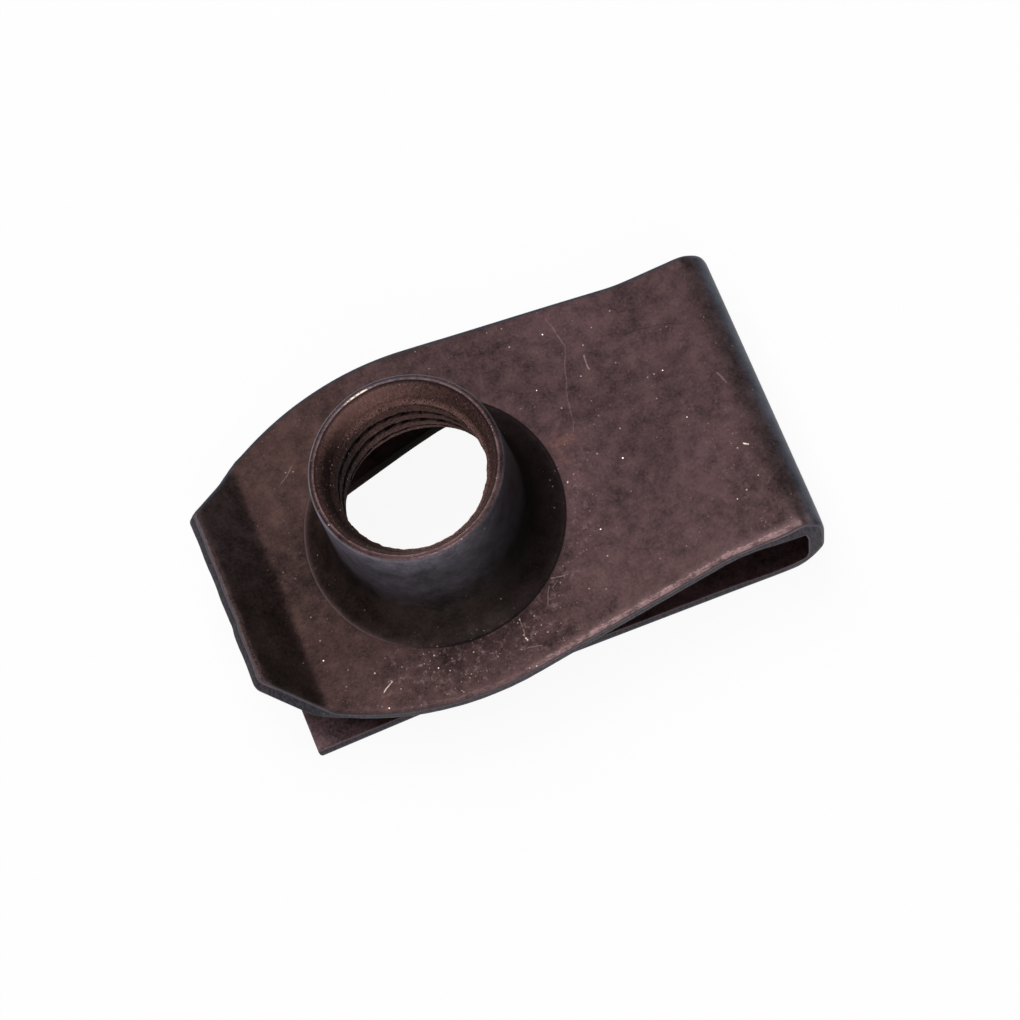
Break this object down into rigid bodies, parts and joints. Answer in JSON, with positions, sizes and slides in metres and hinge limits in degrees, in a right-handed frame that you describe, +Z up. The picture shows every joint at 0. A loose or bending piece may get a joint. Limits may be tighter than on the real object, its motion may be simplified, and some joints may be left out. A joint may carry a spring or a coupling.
{
  "type": "u clip speed nut",
  "caption": "Folded spring-steel clip nut with a threaded barrel drawn from its upper leg, a clipped lead-in lip and a clearance hole in the lower leg, in dark brown phosphate finish",
  "frame": {"origin": "middle of the footprint, on the ground it lies on", "axes": "+X from the lead-in lip to the fold, +Y across the strip, +Z up"},
  "size_m": [0.0307, 0.0198, 0.0132],
  "materials": {
    "phosphated_steel": "dark brown phosphate and oil, semi-matt, lightly worn on its edges"
  },
  "bodies": {
    "root": {"clip": "phosphated_steel"}
  },
  "joints": []
}
